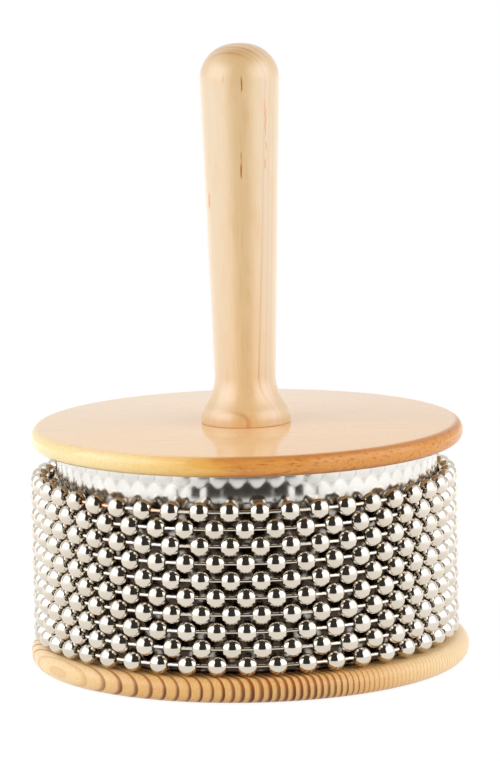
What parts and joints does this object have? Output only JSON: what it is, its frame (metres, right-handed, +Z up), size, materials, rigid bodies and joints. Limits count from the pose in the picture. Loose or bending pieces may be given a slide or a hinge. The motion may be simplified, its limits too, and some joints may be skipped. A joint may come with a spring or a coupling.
{
  "type": "cabasa",
  "caption": "Hand-held cabasa: a short wooden drum wrapped in embossed steel between two round discs, with loose loops of ball chain to rasp on it and a turned handle on top.",
  "frame": {"origin": "middle of the lower disc's underside, where the cabasa stands", "axes": "+Z up the handle, -Y to the front as pictured, +X to the right"},
  "size_m": [0.114, 0.114, 0.1602],
  "materials": {
    "pale_hardwood": "satin, clear coated",
    "honey_wood": "gloss varnish",
    "pine": "gloss varnish",
    "core_wood": "raw",
    "embossed_steel": "bright",
    "tack_steel": "plain",
    "screw_steel": "zinc plated",
    "bead_nickel": "polished nickel",
    "link_nickel": "polished nickel",
    "end_link_copper": "worn plating over copper"
  },
  "bodies": {
    "drum": {"bottom_disc": "pine", "drum_core": "core_wood", "steel_sleeve": "embossed_steel", "sleeve_tacks": "tack_steel", "top_disc": "honey_wood", "handle": "pale_hardwood", "handle_screw": "screw_steel"},
    "chain_loop_01": {"loop_01_beads": "bead_nickel", "loop_01_links": "link_nickel", "loop_01_closing_bead": "bead_nickel", "loop_01_end_links": "end_link_copper"},
    "chain_loop_02": {"loop_02_beads": "bead_nickel", "loop_02_links": "link_nickel", "loop_02_closing_bead": "bead_nickel", "loop_02_end_links": "end_link_copper"},
    "chain_loop_03": {"loop_03_beads": "bead_nickel", "loop_03_links": "link_nickel", "loop_03_closing_bead": "bead_nickel", "loop_03_end_links": "end_link_copper"},
    "chain_loop_04": {"loop_04_beads": "bead_nickel", "loop_04_links": "link_nickel", "loop_04_closing_bead": "bead_nickel", "loop_04_end_links": "end_link_copper"},
    "chain_loop_05": {"loop_05_beads": "bead_nickel", "loop_05_links": "link_nickel", "loop_05_closing_bead": "bead_nickel", "loop_05_end_links": "end_link_copper"},
    "chain_loop_06": {"loop_06_beads": "bead_nickel", "loop_06_links": "link_nickel", "loop_06_closing_bead": "bead_nickel", "loop_06_end_links": "end_link_copper"},
    "chain_loop_07": {"loop_07_beads": "bead_nickel", "loop_07_links": "link_nickel", "loop_07_closing_bead": "bead_nickel", "loop_07_end_links": "end_link_copper"},
    "chain_loop_08": {"loop_08_beads": "bead_nickel", "loop_08_links": "link_nickel", "loop_08_closing_bead": "bead_nickel", "loop_08_end_links": "end_link_copper"},
    "chain_loop_09": {"loop_09_beads": "bead_nickel", "loop_09_links": "link_nickel", "loop_09_closing_bead": "bead_nickel", "loop_09_end_links": "end_link_copper"},
    "chain_loop_10": {"loop_10_beads": "bead_nickel", "loop_10_links": "link_nickel", "loop_10_closing_bead": "bead_nickel", "loop_10_end_links": "end_link_copper"}
  },
  "joints": [
    {"name": "loop_01_turn", "type": "hinge", "parent": "drum", "child": "chain_loop_01", "pos_m": [-0.0009, 0, 0.009], "axis": [0, 0, 1], "continuous": true},
    {"name": "loop_02_turn", "type": "hinge", "parent": "drum", "child": "chain_loop_02", "pos_m": [-0.0009, 0, 0.01333], "axis": [0, 0, 1], "continuous": true},
    {"name": "loop_03_turn", "type": "hinge", "parent": "drum", "child": "chain_loop_03", "pos_m": [-0.0009, 0, 0.01767], "axis": [0, 0, 1], "continuous": true},
    {"name": "loop_04_turn", "type": "hinge", "parent": "drum", "child": "chain_loop_04", "pos_m": [-0.0009, 0, 0.022], "axis": [0, 0, 1], "continuous": true},
    {"name": "loop_05_turn", "type": "hinge", "parent": "drum", "child": "chain_loop_05", "pos_m": [-0.0009, 0, 0.02633], "axis": [0, 0, 1], "continuous": true},
    {"name": "loop_06_turn", "type": "hinge", "parent": "drum", "child": "chain_loop_06", "pos_m": [-0.0009, 0, 0.03067], "axis": [0, 0, 1], "continuous": true},
    {"name": "loop_07_turn", "type": "hinge", "parent": "drum", "child": "chain_loop_07", "pos_m": [-0.0009, 0, 0.035], "axis": [0, 0, 1], "continuous": true},
    {"name": "loop_08_turn", "type": "hinge", "parent": "drum", "child": "chain_loop_08", "pos_m": [-0.0009, 0, 0.03933], "axis": [0, 0, 1], "continuous": true},
    {"name": "loop_09_turn", "type": "hinge", "parent": "drum", "child": "chain_loop_09", "pos_m": [-0.0009, 0, 0.04367], "axis": [0, 0, 1], "continuous": true},
    {"name": "loop_10_turn", "type": "hinge", "parent": "drum", "child": "chain_loop_10", "pos_m": [-0.0009, 0, 0.048], "axis": [0, 0, 1], "continuous": true}
  ],
  "couplings": [
    {"joint": "loop_02_turn", "follows": "loop_01_turn", "ratio": 1},
    {"joint": "loop_03_turn", "follows": "loop_01_turn", "ratio": 1},
    {"joint": "loop_04_turn", "follows": "loop_01_turn", "ratio": 1},
    {"joint": "loop_05_turn", "follows": "loop_01_turn", "ratio": 1},
    {"joint": "loop_06_turn", "follows": "loop_01_turn", "ratio": 1},
    {"joint": "loop_07_turn", "follows": "loop_01_turn", "ratio": 1},
    {"joint": "loop_08_turn", "follows": "loop_01_turn", "ratio": 1},
    {"joint": "loop_09_turn", "follows": "loop_01_turn", "ratio": 1},
    {"joint": "loop_10_turn", "follows": "loop_01_turn", "ratio": 1}
  ]
}
